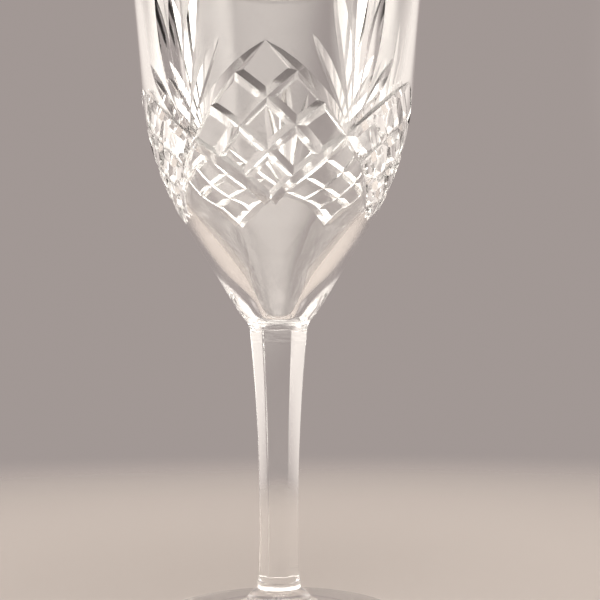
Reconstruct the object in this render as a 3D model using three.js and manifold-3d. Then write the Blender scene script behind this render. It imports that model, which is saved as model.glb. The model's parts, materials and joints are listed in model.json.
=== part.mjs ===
// A clear cut-crystal wine glass: a bowl with a fan and diamond cut, a collar, a six-sided stem,
// a knop and a round foot. Millimetres, +Z up, the foot's underside on the plane z = 0 and the glass's
// own axis on the Z axis. Turns are in degrees: 0 faces -Y and they grow towards +X.
import * as THREE from 'three';
import { mergeVertices } from 'three/addons/utils/BufferGeometryUtils.js';
import Module from 'manifold-3d';

// Foot: a disc with a shallow hollow underneath, so that it stands on a ring
const FOOT_RADIUS = 31.5;
const FOOT_EDGE = 1.7;
const FOOT_HEIGHT = 4.4;
const FOOT_EDGE_ROUND = 0.8;
const FOOT_HOLLOW_RADIUS = 23;
const FOOT_HOLLOW_DEPTH = 1.1;

// Knop: the rounded cushion between foot and stem
const KNOP_RADIUS = 8.05;
const KNOP_SEAT_RADIUS = 7.5;
const KNOP_HEIGHT = 5.95;
const KNOP_BELLY_HEIGHT = 1.5;
const KNOP_NECK = 2;

// Stem: six flats, widest under the collar and waisted above the knop, radii to the corners
const STEM_LENGTH = 64;
const STEM_TOP_RADIUS = 7.7;
const STEM_WAIST_RADIUS = 4.95;
const STEM_WAIST_HEIGHT = 10.8;
const STEM_END_RADIUS = 5.3;
const STEM_SIDES = 6;

// Collar: the ring between stem and bowl, which flares into the bowl
const COLLAR_HEIGHT = 2.25;

// Joints: how far a round piece stands outside the piece that is fused to it
const JOINT_LIP = 0.1;

// Bowl: a cone that rounds into a slightly flared wall, with heights above its own base. Low down, its
// cavity narrows through a throat into a small round well
const BOWL_HEIGHT = 108.4;
const BOWL_BASE_RADIUS = 8.9;
const BASE_ROUND_HEIGHT = 2.4;
const CONE_START_RADIUS = 10.8;
const CONE_RADIUS = 25.5;
const CONE_HEIGHT = 26.4;
const SHOULDER_RADIUS = 36.8;
const SHOULDER_HEIGHT = 61.4;
const RIM_RADIUS = 41.5;
const RIM_WALL = 1.8;
const SHOULDER_WALL = 3.8;
const CONE_WALL = 4;
const THROAT_RADIUS = 10;
const THROAT_HEIGHT = 12.5;
const WELL_RADIUS = 5;
const WELL_HEIGHT = 5;
const BOWL_FLOOR = 1;

// Fan and diamond cut: V grooves, with heights above the bowl's base
const PATTERN_REPEATS = 5;
const PATTERN_TURN = -4.5;
const DIAMOND_TOP_HEIGHT = 59.8;
const DIAMOND_BOTTOM_HEIGHT = 25.4;
const DIAMOND_CELLS = 3;
const FAN_HEIGHT = 40.4;
const GROOVE_ANGLE = 112;
const GROOVE_WIDTH = 3.4;
const BORDER_TAPER = 0.45;
const OUTER_LEAF = { spread: 19, height: 21.5, width: 3 };
const INNER_LEAF = { spread: 11.5, height: 37.5, width: 4.2 };
const MIDDLE_LEAF = { spread: 0, height: 44.5, width: 5.2 };
const LEAF_WIDEST = 0.6;

// How finely the round shapes are divided
const ROUND_SIDES = 48;
const CURVE_STEPS = 6;
const EDGE_STEPS = 3;
const GROOVE_STEPS = 4;

// Working values
const GROOVE_LIFT = 1;
const MERGE_DISTANCE = 1e-4;
const SLOPE_STEP = 1;
const FULL_TURN = 360;
const radians = THREE.MathUtils.degToRad;

const knopBottom = FOOT_HEIGHT;
const stemBottom = knopBottom + KNOP_HEIGHT;
const stemTop = stemBottom + STEM_LENGTH;
const bowlBottom = stemTop + COLLAR_HEIGHT;
const rimTop = bowlBottom + BOWL_HEIGHT;

const wasm = await Module();
wasm.setup();

// Turns an outline of radius and height about the Z axis; it runs up the outside and back to the axis
function turned(outline, sides, startTurn = 0) {
  const geometry = new THREE.LatheGeometry(outline, sides, radians(startTurn));
  geometry.rotateX(Math.PI / 2);
  return geometry;
}

// Makes a closed solid of a geometry, without the empty triangles on the axis
function toSolid(geometry) {
  geometry.deleteAttribute('normal');
  geometry.deleteAttribute('uv');
  const merged = mergeVertices(geometry, MERGE_DISTANCE);
  const corners = merged.index.array;
  const kept = [];
  for (let i = 0; i < corners.length; i += 3) {
    const [a, b, c] = corners.slice(i, i + 3);
    if (a !== b && b !== c && c !== a) {
      kept.push(a, b, c);
    }
  }
  return new wasm.Manifold(new wasm.Mesh({
    numProp: 3,
    vertProperties: merged.attributes.position.array,
    triVerts: new Uint32Array(kept),
  }));
}

function toGeometry(solid) {
  const mesh = solid.getMesh();
  const geometry = new THREE.BufferGeometry();
  geometry.setAttribute('position', new THREE.BufferAttribute(mesh.vertProperties, 3));
  geometry.setIndex(new THREE.BufferAttribute(mesh.triVerts, 1));
  geometry.computeVertexNormals();
  return geometry;
}

// Where the straight lines through two points, each with its own slope of radius over height, cross
function crossing(from, fromSlope, to, toSlope) {
  const height = (to.x - from.x + fromSlope * from.y - toSlope * to.y) / (fromSlope - toSlope);
  return new THREE.Vector2(from.x + fromSlope * (height - from.y), height);
}

function slopeBetween(low, high) {
  return (high.x - low.x) / (high.y - low.y);
}

const base = new THREE.Vector2(BOWL_BASE_RADIUS, bowlBottom);
const coneStart = new THREE.Vector2(CONE_START_RADIUS, bowlBottom + BASE_ROUND_HEIGHT);
const cone = new THREE.Vector2(CONE_RADIUS, bowlBottom + CONE_HEIGHT);
const shoulder = new THREE.Vector2(SHOULDER_RADIUS, bowlBottom + SHOULDER_HEIGHT);
const rim = new THREE.Vector2(RIM_RADIUS, rimTop - RIM_WALL / 2);
const coneSlope = slopeBetween(coneStart, cone);
const wallSlope = slopeBetween(shoulder, rim);

function bowlOutside() {
  const halfRound = BASE_ROUND_HEIGHT / 2;
  const bend = crossing(cone, coneSlope, shoulder, wallSlope);
  const path = new THREE.Path();
  path.moveTo(base.x, base.y);
  path.quadraticCurveTo(coneStart.x - coneSlope * halfRound, base.y + halfRound, coneStart.x, coneStart.y);
  path.lineTo(cone.x, cone.y);
  path.quadraticCurveTo(bend.x, bend.y, shoulder.x, shoulder.y);
  path.lineTo(rim.x, rim.y);
  return path.getPoints(CURVE_STEPS);
}

function bowlInside() {
  const innerRim = new THREE.Vector2(rim.x - RIM_WALL, rim.y);
  const innerShoulder = new THREE.Vector2(shoulder.x - SHOULDER_WALL, shoulder.y);
  const innerCone = new THREE.Vector2(cone.x - CONE_WALL, cone.y);
  const throat = new THREE.Vector2(THROAT_RADIUS, bowlBottom + THROAT_HEIGHT);
  const well = new THREE.Vector2(WELL_RADIUS, bowlBottom + WELL_HEIGHT);
  const innerWallSlope = slopeBetween(innerShoulder, innerRim);
  const innerConeSlope = slopeBetween(throat, innerCone);
  const bend = crossing(innerCone, innerConeSlope, innerShoulder, innerWallSlope);
  const halfThroat = (throat.y - well.y) / 2;
  const throatBend = new THREE.Vector2(throat.x - innerConeSlope * halfThroat, throat.y - halfThroat);
  const floorHeight = bowlBottom + BOWL_FLOOR;
  const floorRadius = well.x - slopeBetween(well, throatBend) * (well.y - floorHeight);
  const path = new THREE.Path();
  path.moveTo(innerRim.x, innerRim.y);
  path.lineTo(innerShoulder.x, innerShoulder.y);
  path.quadraticCurveTo(bend.x, bend.y, innerCone.x, innerCone.y);
  path.lineTo(throat.x, throat.y);
  path.quadraticCurveTo(throatBend.x, throatBend.y, well.x, well.y);
  path.quadraticCurveTo(floorRadius, floorHeight, 0, floorHeight);
  return path.getPoints(CURVE_STEPS);
}

const outside = bowlOutside();

function bowlRadius(height) {
  const next = Math.max(1, outside.findIndex((point) => point.y >= height));
  const low = outside[next - 1];
  const high = outside[next];
  return low.x + slopeBetween(low, high) * (height - low.y);
}

function bowlBlank() {
  const lip = new THREE.Path();
  lip.absarc(rim.x - RIM_WALL / 2, rim.y, RIM_WALL / 2, 0, Math.PI, false);
  const lipPoints = lip.getPoints(EDGE_STEPS).slice(1, -1);
  const outline = [new THREE.Vector2(0, base.y), ...outside, ...lipPoints, ...bowlInside()];
  return toSolid(turned(outline, ROUND_SIDES, PATTERN_TURN));
}

function outward(turn, height) {
  const slope = (bowlRadius(height + SLOPE_STEP) - bowlRadius(height - SLOPE_STEP)) / (2 * SLOPE_STEP);
  const angle = radians(turn);
  return new THREE.Vector3(Math.sin(angle), -Math.cos(angle), -slope).normalize();
}

function onBowl(turn, height) {
  const radius = bowlRadius(height);
  const angle = radians(turn);
  return new THREE.Vector3(radius * Math.sin(angle), -radius * Math.cos(angle), height);
}

// A V groove along the bowl from one place to another; depthAt gives its depth from start 0 to end 1
function groove(from, to, depthAt) {
  const spread = Math.tan(radians(GROOVE_ANGLE / 2));
  const places = [];
  for (let step = 0; step <= GROOVE_STEPS; step += 1) {
    const along = step / GROOVE_STEPS;
    const turn = THREE.MathUtils.lerp(from.turn, to.turn, along);
    const height = THREE.MathUtils.lerp(from.height, to.height, along);
    places.push({ point: onBowl(turn, height), normal: outward(turn, height), depth: depthAt(along) });
  }
  const positions = [];
  places.forEach(({ point, normal, depth }, step) => {
    const before = places[Math.max(0, step - 1)].point;
    const after = places[Math.min(GROOVE_STEPS, step + 1)].point;
    const across = after.clone().sub(before).cross(normal).normalize();
    const half = (depth + GROOVE_LIFT) * spread;
    const top = point.clone().addScaledVector(normal, GROOVE_LIFT);
    const bottom = point.clone().addScaledVector(normal, -depth);
    const left = top.clone().addScaledVector(across, -half);
    const right = top.clone().addScaledVector(across, half);
    positions.push(...bottom.toArray(), ...right.toArray(), ...left.toArray());
  });
  const faces = [0, 1, 2];
  for (let step = 0; step < GROOVE_STEPS; step += 1) {
    for (let side = 0; side < 3; side += 1) {
      const a = 3 * step + side;
      const b = 3 * step + (side + 1) % 3;
      faces.push(a, a + 3, b, b, a + 3, b + 3);
    }
  }
  const last = 3 * GROOVE_STEPS;
  faces.push(last, last + 2, last + 1);
  const geometry = new THREE.BufferGeometry();
  geometry.setAttribute('position', new THREE.Float32BufferAttribute(positions, 3));
  geometry.setIndex(faces);
  return toSolid(geometry);
}

const depthOfWidth = (width) => width / 2 / Math.tan(radians(GROOVE_ANGLE / 2));

const lineDepth = () => depthOfWidth(GROOVE_WIDTH);

// A diamond's upper border starts at nothing in its top corner and deepens to a line's full depth
function borderDepth(along) {
  return lineDepth() * (1 - Math.max(0, 1 - along / BORDER_TAPER) ** 2);
}

// A leaf starts at nothing, is deepest where it is widest and runs out again at its tip
function leafDepth(width) {
  return (along) => {
    const reach = along < LEAF_WIDEST ? LEAF_WIDEST : 1 - LEAF_WIDEST;
    return depthOfWidth(width) * (1 - ((along - LEAF_WIDEST) / reach) ** 2);
  };
}

function between(from, to, share) {
  return {
    turn: THREE.MathUtils.lerp(from.turn, to.turn, share),
    height: THREE.MathUtils.lerp(from.height, to.height, share),
  };
}

// One repeat: a diamond with its inner lines, and the fan at its right-hand corner
function patternGrooves(turn) {
  const halfRepeat = FULL_TURN / PATTERN_REPEATS / 2;
  const top = { turn, height: bowlBottom + DIAMOND_TOP_HEIGHT };
  const bottom = { turn, height: bowlBottom + DIAMOND_BOTTOM_HEIGHT };
  const left = { turn: turn - halfRepeat, height: bowlBottom + FAN_HEIGHT };
  const right = { turn: turn + halfRepeat, height: bowlBottom + FAN_HEIGHT };
  const grooves = [];
  for (let line = 0; line <= DIAMOND_CELLS; line += 1) {
    const share = line / DIAMOND_CELLS;
    const downRight = line === DIAMOND_CELLS ? borderDepth : lineDepth;
    const downLeft = line === 0 ? borderDepth : lineDepth;
    grooves.push(groove(between(left, top, share), between(bottom, right, share), downRight));
    grooves.push(groove(between(top, right, share), between(left, bottom, share), downLeft));
  }
  for (const leaf of [OUTER_LEAF, INNER_LEAF, MIDDLE_LEAF]) {
    const sides = leaf.spread === 0 ? [0] : [-1, 1];
    for (const side of sides) {
      const tip = { turn: right.turn + side * leaf.spread, height: right.height + leaf.height };
      grooves.push(groove(right, tip, leafDepth(leaf.width)));
    }
  }
  return grooves;
}

function bowl() {
  let solid = bowlBlank();
  for (let repeat = 0; repeat < PATTERN_REPEATS; repeat += 1) {
    for (const cut of patternGrooves(PATTERN_TURN + repeat * FULL_TURN / PATTERN_REPEATS)) {
      solid = solid.subtract(cut);
    }
  }
  return toGeometry(solid);
}

function collar() {
  const lower = STEM_TOP_RADIUS + JOINT_LIP;
  const path = new THREE.Path();
  path.moveTo(0, stemTop);
  path.lineTo(lower, stemTop);
  path.quadraticCurveTo(lower, (stemTop + bowlBottom) / 2, BOWL_BASE_RADIUS + JOINT_LIP, bowlBottom);
  path.lineTo(0, bowlBottom);
  return turned(path.getPoints(EDGE_STEPS), ROUND_SIDES);
}

function stem() {
  const waist = stemBottom + STEM_WAIST_HEIGHT;
  const path = new THREE.Path();
  path.moveTo(STEM_END_RADIUS, stemBottom);
  path.quadraticCurveTo(STEM_WAIST_RADIUS, (stemBottom + waist) / 2, STEM_WAIST_RADIUS, waist);
  path.quadraticCurveTo(STEM_WAIST_RADIUS, (waist + stemTop) / 2, STEM_TOP_RADIUS, stemTop);
  const sides = path.getPoints(CURVE_STEPS);
  const outline = [new THREE.Vector2(0, stemBottom), ...sides, new THREE.Vector2(0, stemTop)];
  return turned(outline, STEM_SIDES, PATTERN_TURN + FULL_TURN / STEM_SIDES / 2);
}

function knop() {
  const belly = knopBottom + KNOP_BELLY_HEIGHT;
  const neckRadius = STEM_END_RADIUS + JOINT_LIP;
  const neck = stemBottom - KNOP_NECK;
  const path = new THREE.Path();
  path.moveTo(KNOP_SEAT_RADIUS, knopBottom);
  path.quadraticCurveTo(KNOP_RADIUS, (knopBottom + belly) / 2, KNOP_RADIUS, belly);
  path.quadraticCurveTo(KNOP_RADIUS, (belly + neck) / 2, neckRadius, neck);
  path.lineTo(neckRadius, stemBottom);
  const outline = [
    new THREE.Vector2(0, knopBottom),
    ...path.getPoints(EDGE_STEPS),
    new THREE.Vector2(0, stemBottom),
  ];
  return turned(outline, ROUND_SIDES);
}

function foot() {
  const middleRadius = KNOP_SEAT_RADIUS + JOINT_LIP;
  const edge = FOOT_RADIUS - FOOT_EDGE_ROUND;
  const path = new THREE.Path();
  path.moveTo(0, FOOT_HOLLOW_DEPTH);
  path.quadraticCurveTo(FOOT_HOLLOW_RADIUS / 2, FOOT_HOLLOW_DEPTH, FOOT_HOLLOW_RADIUS, 0);
  path.lineTo(edge, 0);
  path.quadraticCurveTo(FOOT_RADIUS, 0, FOOT_RADIUS, FOOT_EDGE / 2);
  path.quadraticCurveTo(FOOT_RADIUS, FOOT_EDGE, edge, FOOT_EDGE);
  path.quadraticCurveTo((edge + middleRadius) / 2, FOOT_EDGE, middleRadius, FOOT_HEIGHT);
  path.lineTo(0, FOOT_HEIGHT);
  return turned(path.getPoints(EDGE_STEPS), ROUND_SIDES);
}

function piece(name, geometry) {
  const material = new THREE.MeshStandardMaterial({ color: '#eef2f0', roughness: 0.04, metalness: 0 });
  const mesh = new THREE.Mesh(geometry, material);
  mesh.name = name;
  return mesh;
}

const glass = new THREE.Group();
glass.add(piece('foot', foot()));
glass.add(piece('knop', knop()));
glass.add(piece('stem', stem()));
glass.add(piece('collar', collar()));
glass.add(piece('bowl', bowl()));

export default glass;
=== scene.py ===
# A clear cut-crystal wine glass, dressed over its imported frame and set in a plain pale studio.
# Metres, +Z up. The glass's own axis is the Z axis and its foot stands on z = 0.
# Turns are in degrees: 0 faces -Y, towards the camera, and they grow towards +X.
import json
import math

import bmesh
import bpy
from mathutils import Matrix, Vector

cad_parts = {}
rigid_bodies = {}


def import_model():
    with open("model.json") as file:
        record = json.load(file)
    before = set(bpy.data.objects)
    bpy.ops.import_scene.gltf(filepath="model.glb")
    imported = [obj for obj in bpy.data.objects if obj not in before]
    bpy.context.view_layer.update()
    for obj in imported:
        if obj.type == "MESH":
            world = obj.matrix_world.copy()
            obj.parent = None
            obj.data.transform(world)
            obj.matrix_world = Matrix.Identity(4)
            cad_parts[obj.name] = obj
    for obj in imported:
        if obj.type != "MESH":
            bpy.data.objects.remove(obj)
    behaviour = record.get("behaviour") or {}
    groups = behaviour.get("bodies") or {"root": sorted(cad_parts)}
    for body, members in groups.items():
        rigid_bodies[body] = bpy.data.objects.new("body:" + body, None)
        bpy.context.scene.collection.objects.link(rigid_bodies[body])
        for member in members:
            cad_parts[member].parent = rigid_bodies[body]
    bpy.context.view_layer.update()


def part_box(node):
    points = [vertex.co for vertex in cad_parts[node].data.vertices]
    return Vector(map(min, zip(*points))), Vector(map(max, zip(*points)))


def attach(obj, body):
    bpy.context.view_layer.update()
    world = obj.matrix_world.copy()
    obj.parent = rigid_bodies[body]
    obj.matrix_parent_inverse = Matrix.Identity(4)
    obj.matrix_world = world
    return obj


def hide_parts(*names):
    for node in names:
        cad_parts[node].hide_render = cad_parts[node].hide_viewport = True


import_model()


# Foot
# The foot is a thin disc of crystal that swells towards the middle, dropped hot onto the knop and
# spread with a wooden tool. Its underside is ground hollow, so that it stands on a ring.
foot_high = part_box("foot")[1]
foot_radius = foot_high.x
foot_edge = 0.0017
foot_edge_round = 0.0008
foot_hollow_radius = 0.023
foot_hollow_depth = 0.0011
knop_seat_radius = 0.0075
seat_lip = 0.0001

lathe_steps = 240
curve_steps = 24
edge_steps = 10
merge_distance = 1e-6
level_tolerance = 1e-5
sharp_angle = math.radians(9)

crystal_colour = (0.99, 0.992, 0.99, 1.0)
crystal_index = 1.545
smear_scale = 90.0


class Value:
    """A number in a finish's nodes. Arithmetic on it adds Math nodes."""

    def __init__(self, finish, socket):
        self.finish = finish
        self.socket = socket

    def maths(self, operation, first, second):
        return self.finish.node("ShaderNodeMath", {"operation": operation}, {0: first, 1: second})

    def __add__(self, other):
        return self.maths("ADD", self, other)

    def __radd__(self, other):
        return self.maths("ADD", other, self)

    def __mul__(self, other):
        return self.maths("MULTIPLY", self, other)

    def __rmul__(self, other):
        return self.maths("MULTIPLY", other, self)


class Finish:
    """The nodes of a new material or world, with one method that adds any node to them."""

    def __init__(self, owner, shader="Principled BSDF"):
        owner.use_nodes = True
        self.owner = owner
        self.tree = owner.node_tree
        self.shader = self.tree.nodes[shader]

    def fill(self, node, inputs):
        for name, value in inputs.items():
            if isinstance(value, Value):
                self.tree.links.new(value.socket, node.inputs[name])
            else:
                node.inputs[name].default_value = value

    def node(self, kind, settings, inputs, output=0):
        node = self.tree.nodes.new(kind)
        for name, value in settings.items():
            setattr(node, name, value)
        self.fill(node, inputs)
        return Value(self, node.outputs[output])


def crystal(name, haze, haze_spread, ripple_size, ripple_depth):
    """Clear lead crystal: faint haze left by polishing and washing, and ripples in the worked surface."""
    finish = Finish(bpy.data.materials.new(name))
    place = finish.node("ShaderNodeTexCoord", {}, {}, "Object")
    ripples = finish.node(
        "ShaderNodeTexNoise", {}, {"Vector": place, "Scale": 1 / ripple_size, "Detail": 1.0}
    )
    smears = finish.node(
        "ShaderNodeTexNoise", {},
        {"Vector": place, "Scale": smear_scale, "Detail": 3.0, "Distortion": 0.6},
    )
    surface = finish.node(
        "ShaderNodeBump", {}, {"Height": ripples, "Strength": 1.0, "Distance": ripple_depth}
    )
    finish.fill(finish.shader, {
        "Base Color": crystal_colour,
        "Roughness": haze + haze_spread * smears,
        "IOR": crystal_index,
        "Transmission Weight": 1.0,
        "Normal": surface,
    })
    return finish.owner


def fused_glass():
    """Where two pieces are melted together there is no surface left, so nothing shows there."""
    finish = Finish(bpy.data.materials.new("fused_glass"))
    finish.fill(finish.shader, {"Alpha": 0.0})
    return finish.owner


polished = crystal(
    "polished_crystal", haze=0.0, haze_spread=0.02, ripple_size=0.02, ripple_depth=0.00002
)
fused = fused_glass()


def curve(start, bend, end, steps=curve_steps):
    """Points of a round stretch from start to end, drawn towards bend, without the first."""
    points = []
    for step in range(1, steps + 1):
        share = step / steps
        first = Vector(start).lerp(Vector(bend), share)
        second = Vector(bend).lerp(Vector(end), share)
        points.append(tuple(first.lerp(second, share)))
    return points


def line(start, end, steps):
    """Evenly spaced points from start to end, without the first."""
    return [tuple(Vector(start).lerp(Vector(end), step / steps)) for step in range(1, steps + 1)]


def turned(name, outline):
    """Turns an outline of radius and height points once round the Z axis."""
    bpy.ops.object.select_all(action="DESELECT")
    bpy.ops.mesh.primitive_plane_add(size=merge_distance)
    piece = bpy.context.object
    piece.name = name
    piece.data.materials.append(polished)
    piece.data.materials.append(fused)
    bpy.ops.object.mode_set(mode="EDIT")
    bpy.ops.mesh.select_mode(type="VERT")
    bpy.ops.mesh.merge(type="CENTER")
    at = Vector((0, 0))
    for number, place in enumerate(Vector(point) for point in outline):
        move = {"value": (place.x - at.x, 0, place.y - at.y)}
        if number == 0:
            bpy.ops.transform.translate(**move)
        else:
            bpy.ops.mesh.extrude_vertices_move(TRANSFORM_OT_translate=move)
        at = place
    bpy.ops.mesh.select_all(action="SELECT")
    bpy.ops.mesh.spin(steps=lathe_steps, angle=math.tau, center=(0, 0, 0), axis=(0, 0, 1))
    bpy.ops.mesh.select_all(action="SELECT")
    bpy.ops.mesh.remove_doubles(threshold=merge_distance)
    bpy.ops.object.mode_set(mode="OBJECT")
    return piece


def select_open_edge(piece, height):
    """In edit mode, selects the open round edge at one height."""
    bpy.ops.mesh.select_mode(type="EDGE")
    bpy.ops.mesh.select_all(action="DESELECT")
    bpy.ops.mesh.select_non_manifold(
        extend=False, use_wire=False, use_multi_face=False, use_non_contiguous=False, use_verts=False
    )
    mesh = bmesh.from_edit_mesh(piece.data)
    for edge in mesh.edges:
        if edge.select:
            edge.select = all(abs(vertex.co.z - height) < level_tolerance for vertex in edge.verts)
    mesh.select_flush(False)
    bmesh.update_edit_mesh(piece.data)


def fuse(piece, height, to_shape=None):
    """Closes the open edge at a height with a face that has no surface; to_shape first draws it in."""
    bpy.ops.object.mode_set(mode="EDIT")
    select_open_edge(piece, height)
    if to_shape is not None:
        bpy.ops.mesh.extrude_edges_move()
        mesh = bmesh.from_edit_mesh(piece.data)
        for vertex in mesh.verts:
            if vertex.select:
                vertex.co = to_shape(vertex.co)
        bmesh.update_edit_mesh(piece.data)
    bpy.ops.mesh.edge_face_add()
    piece.active_material_index = 1
    bpy.ops.object.material_slot_assign()
    bpy.ops.object.mode_set(mode="OBJECT")


def finished(piece, node):
    """Turns the faces outwards, smooths all but the cut edges and hands the piece to the frame."""
    bpy.ops.object.select_all(action="DESELECT")
    piece.select_set(True)
    bpy.context.view_layer.objects.active = piece
    bpy.ops.object.mode_set(mode="EDIT")
    bpy.ops.mesh.select_all(action="SELECT")
    bpy.ops.mesh.normals_make_consistent(inside=False)
    bpy.ops.object.mode_set(mode="OBJECT")
    bpy.ops.object.shade_smooth_by_angle(angle=sharp_angle)
    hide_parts(node)
    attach(piece, "root")


edge_inner = foot_radius - foot_edge_round
seat_edge = knop_seat_radius + seat_lip
foot_middle = (edge_inner + seat_edge) / 2
foot_outline = [
    (0, foot_hollow_depth),
    *curve((0, foot_hollow_depth), (foot_hollow_radius / 2, foot_hollow_depth), (foot_hollow_radius, 0)),
    (edge_inner, 0),
    *curve((edge_inner, 0), (foot_radius, 0), (foot_radius, foot_edge / 2), edge_steps),
    *curve((foot_radius, foot_edge / 2), (foot_radius, foot_edge), (edge_inner, foot_edge), edge_steps),
    *curve((edge_inner, foot_edge), (foot_middle, foot_edge), (seat_edge, foot_high.z)),
    (knop_seat_radius, foot_high.z),
]
foot = turned("crystal_foot", foot_outline)
fuse(foot, foot_high.z)
finished(foot, "foot")


# Knop
# The knop is a rounded gather of crystal between foot and stem. It is left as the fire smoothed it,
# so it has no cuts, and it is melted to the foot below and to the stem above.
knop_low, knop_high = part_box("knop")
knop_radius = knop_high.x
knop_belly = knop_low.z + 0.0015
knop_neck = knop_high.z - 0.0020
stem_end_radius = 0.0053
neck_radius = stem_end_radius + seat_lip

flats = 6
flat_turn = -4.5
corner_angle = math.radians(flat_turn + 180 / flats - 90)


def on_flats(corner_radius):
    """Gives a function that draws a point of a round edge in onto a six-sided outline."""
    part = math.tau / flats

    def place(point):
        angle = (math.atan2(point.y, point.x) - corner_angle) % part
        radius = corner_radius * math.cos(part / 2) / math.cos(angle - part / 2)
        around = Vector((point.x, point.y, 0)).normalized()
        return around * radius + Vector((0, 0, point.z))

    return place


knop_outline = [
    (knop_seat_radius, knop_low.z),
    *curve(
        (knop_seat_radius, knop_low.z), (knop_radius, (knop_low.z + knop_belly) / 2),
        (knop_radius, knop_belly),
    ),
    *curve(
        (knop_radius, knop_belly), (knop_radius, (knop_belly + knop_neck) / 2),
        (neck_radius, knop_neck),
    ),
    (neck_radius, knop_high.z),
]
knop = turned("crystal_knop", knop_outline)
fuse(knop, knop_low.z)
fuse(knop, knop_high.z, on_flats(stem_end_radius))
finished(knop, "knop")


# Stem
# The stem is drawn from the bowl's own glass and cut with six long flats on a smooth stone, widest
# under the collar and waisted above the knop. Acid polish leaves its corners a hair round.
stem_low, stem_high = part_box("stem")
stem_top_radius = 0.0077
stem_waist_radius = 0.00495
stem_waist = stem_low.z + 0.0108
arris_round = 0.00026
arris_steps = 6
level_normal = 0.99

stem_outline = [
    (stem_end_radius, stem_low.z),
    *curve(
        (stem_end_radius, stem_low.z), (stem_waist_radius, (stem_low.z + stem_waist) / 2),
        (stem_waist_radius, stem_waist),
    ),
    *curve(
        (stem_waist_radius, stem_waist), (stem_waist_radius, (stem_waist + stem_high.z) / 2),
        (stem_top_radius, stem_high.z),
    ),
]
bpy.ops.object.select_all(action="DESELECT")
bpy.ops.mesh.primitive_circle_add(
    vertices=flats, radius=stem_end_radius, fill_type="NGON", location=(0, 0, stem_low.z),
    rotation=(0, 0, corner_angle + math.pi / 2),
)
stem = bpy.context.object
stem.name = "crystal_stem"
bpy.ops.object.transform_apply(location=True, rotation=True, scale=True)
stem.data.materials.append(polished)
stem.data.materials.append(fused)
bpy.ops.object.mode_set(mode="EDIT")
bpy.ops.mesh.select_all(action="SELECT")
for (radius, height), (next_radius, next_height) in zip(stem_outline, stem_outline[1:]):
    rise = {"value": (0, 0, next_height - height)}
    bpy.ops.mesh.extrude_region_move(TRANSFORM_OT_translate=rise)
    swell = next_radius / radius
    bpy.ops.transform.resize(value=(swell, swell, 1), center_override=(0, 0, next_height))
mesh = bmesh.from_edit_mesh(stem.data)
bpy.ops.mesh.select_mode(type="EDGE")
bpy.ops.mesh.select_all(action="DESELECT")
for edge in mesh.edges:
    edge.select = abs(edge.verts[0].co.z - edge.verts[1].co.z) > merge_distance
bmesh.update_edit_mesh(stem.data)
bpy.ops.mesh.bevel(offset=arris_round, segments=arris_steps, affect="EDGES")
bpy.ops.object.mode_set(mode="OBJECT")
for face in stem.data.polygons:
    face.material_index = 1 if abs(face.normal.z) > level_normal else 0
finished(stem, "stem")


# Collar
# The collar is the ring of round glass that the cutter leaves standing above the stem's flats. It flares
# into the bowl, and both ends carry on into the glass beyond without a joint.
collar_low, collar_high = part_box("collar")
bowl_base_radius = 0.0089
lower_edge = stem_top_radius + seat_lip
upper_edge = bowl_base_radius + seat_lip

collar_outline = [
    (lower_edge, collar_low.z),
    *curve(
        (lower_edge, collar_low.z), (lower_edge, (collar_low.z + collar_high.z) / 2),
        (upper_edge, collar_high.z),
    ),
]
collar = turned("crystal_collar", collar_outline)
fuse(collar, collar_low.z, on_flats(stem_top_radius))
fuse(collar, collar_high.z)
finished(collar, "collar")


# Bowl
# The bowl is blown thick, with a cavity that narrows through a throat to a small well, and its rim is
# melted round. Wheels cut a band of five crossed diamonds into it, and a fan of leaves between each two.
bowl_low, bowl_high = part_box("bowl")
rim_radius = bowl_high.x
rim_wall = 0.0018
rim_height = bowl_high.z - rim_wall / 2
base_round = 0.0024
cone_start_radius = 0.0108
cone_radius = 0.0255
cone_height = bowl_low.z + 0.0264
cone_wall = 0.0040
shoulder_radius = 0.0368
shoulder_height = bowl_low.z + 0.0614
shoulder_wall = 0.0038
throat_radius = 0.0100
throat_height = bowl_low.z + 0.0125
well_radius = 0.0050
well_height = bowl_low.z + 0.0050
bowl_floor = bowl_low.z + 0.0010
wall_steps = 40


def slope(low, high):
    return (high[0] - low[0]) / (high[1] - low[1])


def crossing(start, start_slope, end, end_slope):
    """Where two straight lines meet, each through a point with a slope of radius over height."""
    rise = end[0] - start[0] + start_slope * start[1] - end_slope * end[1]
    height = rise / (start_slope - end_slope)
    return start[0] + start_slope * (height - start[1]), height


base = (bowl_base_radius, bowl_low.z)
cone_start = (cone_start_radius, bowl_low.z + base_round)
cone = (cone_radius, cone_height)
shoulder = (shoulder_radius, shoulder_height)
rim = (rim_radius, rim_height)
cone_slope = slope(cone_start, cone)
base_bend = (cone_start_radius - cone_slope * base_round / 2, bowl_low.z + base_round / 2)
outer_bend = crossing(cone, cone_slope, shoulder, slope(shoulder, rim))
outside = [
    base,
    *curve(base, base_bend, cone_start, edge_steps),
    *line(cone_start, cone, wall_steps),
    *curve(cone, outer_bend, shoulder, wall_steps),
    *line(shoulder, rim, wall_steps),
]

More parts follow.
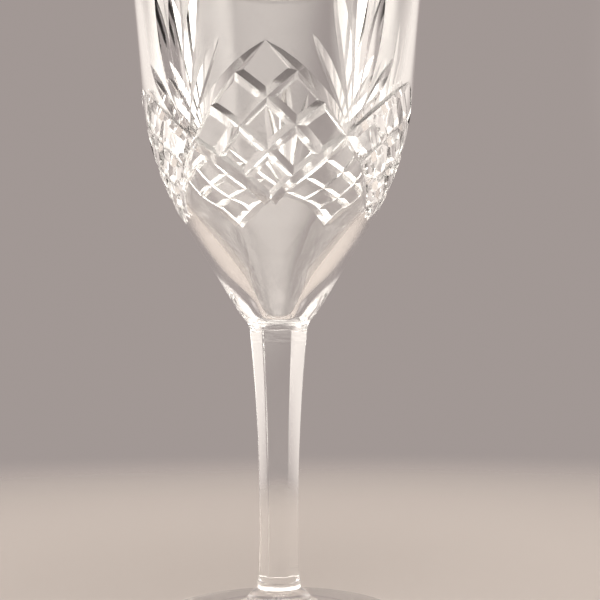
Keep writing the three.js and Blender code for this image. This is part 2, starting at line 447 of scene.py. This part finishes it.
inner_rim = (rim_radius - rim_wall, rim_height)
inner_shoulder = (shoulder_radius - shoulder_wall, shoulder_height)
inner_cone = (cone_radius - cone_wall, cone_height)
throat = (throat_radius, throat_height)
well = (well_radius, well_height)
inner_slope = slope(throat, inner_cone)
inner_bend = crossing(inner_cone, inner_slope, inner_shoulder, slope(inner_shoulder, inner_rim))
half_throat = (throat_height - well_height) / 2
throat_bend = (throat_radius - inner_slope * half_throat, throat_height - half_throat)
floor_bend = (well_radius - slope(well, throat_bend) * (well_height - bowl_floor), bowl_floor)
rim_middle = rim_radius - rim_wall / 2
lip = []
for step in range(1, edge_steps):
    angle = math.pi * step / edge_steps
    lip.append((
        rim_middle + rim_wall / 2 * math.cos(angle), rim_height + rim_wall / 2 * math.sin(angle)
    ))
inside = [
    inner_rim,
    *line(inner_rim, inner_shoulder, wall_steps),
    *curve(inner_shoulder, inner_bend, inner_cone, wall_steps),
    *line(inner_cone, throat, wall_steps),
    *curve(throat, throat_bend, well),
    *curve(well, floor_bend, (0, bowl_floor)),
]
bowl = turned("crystal_bowl", [*outside, *lip, *inside])
fuse(bowl, bowl_low.z)

cut_finish = crystal(
    "cut_crystal", haze=0.08, haze_spread=0.05, ripple_size=0.006, ripple_depth=0.000004
)
cutters = bpy.data.collections.new("cutters")
bpy.context.scene.collection.children.link(cutters)


def as_cutter(cutter, finish):
    """Puts a closed shape among the wheels that are taken out of the bowl."""
    cutter.data.materials.append(finish)
    for owner in list(cutter.users_collection):
        owner.objects.unlink(cutter)
    cutters.objects.link(cutter)


def bowl_radius(height):
    for low, high in zip(outside, outside[1:]):
        if height <= high[1]:
            break
    return low[0] + slope(low, high) * (height - low[1])


# The diamonds and fans are V grooves, cut by a mitred wheel that follows the bowl's curve
repeats = 5
diamond_top = bowl_low.z + 0.0598
diamond_bottom = bowl_low.z + 0.0254
diamond_cells = 3
fan_height = bowl_low.z + 0.0404
groove_angle = 112
groove_spread = math.tan(math.radians(groove_angle / 2))
groove_width = 0.0034
border_taper = 0.45
outer_leaf = {"spread": 19, "height": 0.0215, "width": 0.0030}
inner_leaf = {"spread": 11.5, "height": 0.0375, "width": 0.0042}
middle_leaf = {"spread": 0, "height": 0.0445, "width": 0.0052}
leaf_widest = 0.6
groove_lift = 0.001
groove_steps = 32
half_prism = 0.5
slope_step = 0.0005


def on_bowl(turn, height):
    radius = bowl_radius(height)
    angle = math.radians(turn)
    return Vector((radius * math.sin(angle), -radius * math.cos(angle), height))


def outward(turn, height):
    lean = (bowl_radius(height + slope_step) - bowl_radius(height - slope_step)) / (2 * slope_step)
    angle = math.radians(turn)
    return Vector((math.sin(angle), -math.cos(angle), -lean)).normalized()


def depth_of(width):
    return width / 2 / groove_spread


def groove(start, end, depth_at):
    """A V-edged prism laid along the bowl between two places of turn and height."""
    bpy.ops.object.select_all(action="DESELECT")
    bpy.ops.mesh.primitive_cylinder_add(vertices=3, radius=1, depth=2 * half_prism)
    cutter = bpy.context.object
    bpy.ops.object.mode_set(mode="EDIT")
    bpy.ops.mesh.select_mode(type="EDGE")
    bpy.ops.mesh.select_all(action="DESELECT")
    mesh = bmesh.from_edit_mesh(cutter.data)
    for edge in mesh.edges:
        edge.select = abs(edge.verts[0].co.z - edge.verts[1].co.z) > half_prism
    bmesh.update_edit_mesh(cutter.data)
    bpy.ops.mesh.subdivide(number_cuts=groove_steps - 1)
    bpy.ops.object.mode_set(mode="OBJECT")
    for vertex in cutter.data.vertices:
        along = vertex.co.z + half_prism
        before = Vector(start).lerp(Vector(end), max(0, along - 1 / groove_steps))
        here = Vector(start).lerp(Vector(end), along)
        after = Vector(start).lerp(Vector(end), min(1, along + 1 / groove_steps))
        normal = outward(*here)
        across = (on_bowl(*after) - on_bowl(*before)).cross(normal).normalized()
        depth = depth_at(along)
        if vertex.co.y > 0:
            vertex.co = on_bowl(*here) - normal * depth
        else:
            side = math.copysign((depth + groove_lift) * groove_spread, vertex.co.x)
            vertex.co = on_bowl(*here) + normal * groove_lift + across * side
    bpy.ops.object.mode_set(mode="EDIT")
    bpy.ops.mesh.select_all(action="SELECT")
    bpy.ops.mesh.normals_make_consistent(inside=False)
    bpy.ops.object.mode_set(mode="OBJECT")
    as_cutter(cutter, cut_finish)
    return cutter


def line_depth(along):
    return depth_of(groove_width)


def border_depth(along):
    """The diamond's upper borders rise out of the glass towards its top corner, where they start."""
    return depth_of(groove_width) * (1 - max(0, 1 - along / border_taper) ** 2)


def leaf_depth(width):
    """A leaf starts at nothing, is deepest where it is widest and runs out again at its tip."""

    def depth(along):
        reach = leaf_widest if along < leaf_widest else 1 - leaf_widest
        return depth_of(width) * (1 - ((along - leaf_widest) / reach) ** 2)

    return depth


half_repeat = 180 / repeats
top = Vector((flat_turn, diamond_top))
bottom = Vector((flat_turn, diamond_bottom))
left = Vector((flat_turn - half_repeat, fan_height))
right = Vector((flat_turn + half_repeat, fan_height))
first_repeat = []
for number in range(diamond_cells + 1):
    share = number / diamond_cells
    down_right = border_depth if share == 1 else line_depth
    down_left = border_depth if share == 0 else line_depth
    first_repeat.append(groove(left.lerp(top, share), bottom.lerp(right, share), down_right))
    first_repeat.append(groove(top.lerp(right, share), left.lerp(bottom, share), down_left))
for leaf in (outer_leaf, inner_leaf, middle_leaf):
    for side in ((-1, 1) if leaf["spread"] else (0,)):
        tip = right + Vector((side * leaf["spread"], leaf["height"]))
        first_repeat.append(groove(right, tip, leaf_depth(leaf["width"])))

for repeat in range(1, repeats):
    for cutter in first_repeat:
        copy = cutter.copy()
        copy.data = cutter.data.copy()
        cutters.objects.link(copy)
        copy.rotation_euler = (0, 0, math.tau * repeat / repeats)

bpy.ops.object.select_all(action="DESELECT")
bpy.context.view_layer.objects.active = bowl
cutting = bowl.modifiers.new("cutting", "BOOLEAN")
cutting.operand_type = "COLLECTION"
cutting.collection = cutters
cutting.operation = "DIFFERENCE"
cutting.solver = "MANIFOLD"
cutting.material_mode = "TRANSFER"
bpy.ops.object.modifier_apply(modifier=cutting.name)
for cutter in list(cutters.objects):
    bpy.data.objects.remove(cutter)
bpy.data.collections.remove(cutters)
finished(bowl, "bowl")


# Studio
# A plain pale floor fades into a pale backdrop, lit softly from high behind the camera and dimly from
# each side. Two bright windows show only in mirrored light, so that just the glass has bright edges.
paper_radius = 3.0
paper_sides = 96
paper_colour = (0.55, 0.505, 0.485, 1.0)
paper_roughness = 0.8
grain_roughness = 0.1
air_gap = 0.0001
fade_start = 0.12
fade_end = 0.7
room_level = 0.36
room_colour = (1.0, 0.87, 0.83, 1.0)
light_colour = (1.0, 0.94, 0.86, 1.0)
ceiling_start = 0.50
ceiling_end = 0.72
ceiling_share = 0.30
key_level = 3.2
side_level = 0.6
right_window_level = 3.2
left_window_level = 2.4

bpy.ops.object.select_all(action="DESELECT")
bpy.ops.mesh.primitive_circle_add(
    vertices=paper_sides, radius=paper_radius, fill_type="NGON", location=(0, 0, -air_gap)
)
studio = bpy.context.object
studio.name = "studio_floor"
paper = Finish(bpy.data.materials.new("studio_paper"))
paper_place = paper.node("ShaderNodeTexCoord", {}, {}, "Object")
paper_grain = paper.node("ShaderNodeTexNoise", {}, {"Vector": paper_place, "Scale": 6.0, "Detail": 2.0})
paper_reach = paper.node("ShaderNodeVectorMath", {"operation": "LENGTH"}, {0: paper_place}, "Value")
paper_share = paper.node(
    "ShaderNodeMapRange", {"interpolation_type": "SMOOTHSTEP"},
    {"Value": paper_reach, "From Min": fade_start, "From Max": fade_end, "To Min": 1.0, "To Max": 0.0},
)
paper.fill(paper.shader, {
    "Base Color": paper_colour,
    "Roughness": paper_roughness + grain_roughness * paper_grain,
    "Specular IOR Level": 0.2,
    "Alpha": paper_share,
})
studio.data.materials.append(paper.owner)

backdrop = Finish(bpy.data.worlds.new("studio_backdrop"), "Background")
direction = backdrop.node("ShaderNodeTexCoord", {}, {}, "Generated")


def glow(turn, height, core, reach):
    """How far a direction lies in a soft round light: 1 in its core, 0 beyond its reach, in degrees."""
    turn = math.radians(turn)
    height = math.radians(height)
    middle = (math.sin(turn) * math.cos(height), -math.cos(turn) * math.cos(height), math.sin(height))
    nearness = backdrop.node(
        "ShaderNodeVectorMath", {"operation": "DOT_PRODUCT"}, {0: direction, 1: middle}, "Value"
    )
    edge = math.cos(math.radians(reach))
    full = math.cos(math.radians(core))
    return backdrop.node(
        "ShaderNodeMapRange", {"interpolation_type": "SMOOTHSTEP"},
        {"Value": nearness, "From Min": edge, "From Max": full},
    )


upward = backdrop.node("ShaderNodeSeparateXYZ", {}, {"Vector": direction}, "Z")
room = backdrop.node("ShaderNodeMapRange", {"interpolation_type": "SMOOTHSTEP"}, {
    "Value": upward,
    "From Min": ceiling_start,
    "From Max": ceiling_end,
    "To Min": 1.0,
    "To Max": ceiling_share,
})
key_light = glow(turn=15, height=60, core=12, reach=46)
right_light = glow(turn=126, height=18, core=12, reach=30)
left_light = glow(turn=-128, height=18, core=12, reach=29)
right_window = glow(turn=74, height=22, core=24, reach=34)
left_window = glow(turn=-90, height=15, core=16, reach=34)
mirrors = backdrop.node("ShaderNodeLightPath", {}, {}, "Glossy Depth")
mirrored = backdrop.node("ShaderNodeClamp", {}, {"Value": mirrors})
windows = mirrored * (right_window_level * right_window + left_window_level * left_window)
lights = key_level * key_light + side_level * right_light + side_level * left_light + windows
light_share = backdrop.node("ShaderNodeClamp", {}, {"Value": lights})

# A colour mix takes its colours in inputs 6 and 7 and gives output 2
colour = backdrop.node(
    "ShaderNodeMix", {"data_type": "RGBA"}, {0: light_share, 6: room_colour, 7: light_colour}, 2
)
backdrop.fill(backdrop.shader, {"Color": colour, "Strength": room_level * room + lights})
bpy.context.scene.world = backdrop.owner


# Camera
# It stands low and close in front of the glass and looks up a little, so that the rim is cut off by
# the picture's top edge and the foot by its bottom edge.
camera_distance = 0.2046
camera_height = 0.0543
look_up = 7.595
look_right = 1.556
roll = 0.34
camera_data = bpy.data.cameras.new("camera")
camera_data.sensor_width = 36.0
camera_data.lens = 46.8
camera_data.clip_start = 0.01
camera = bpy.data.objects.new("camera", camera_data)
bpy.context.scene.collection.objects.link(camera)
camera.location = (0, -camera_distance, camera_height)
camera.rotation_euler = (math.radians(90 + look_up), math.radians(roll), math.radians(-look_right))
scene = bpy.context.scene
scene.camera = camera
scene.view_settings.view_transform = "Standard"

# The glass stays sharp for light that comes off the floor, so that the foot doesn't darken it
scene.cycles.blur_glossy = 0.0
scene.cycles.max_bounces = 32
scene.cycles.transmission_bounces = 32
scene.cycles.glossy_bounces = 16
scene.cycles.transparent_max_bounces = 32
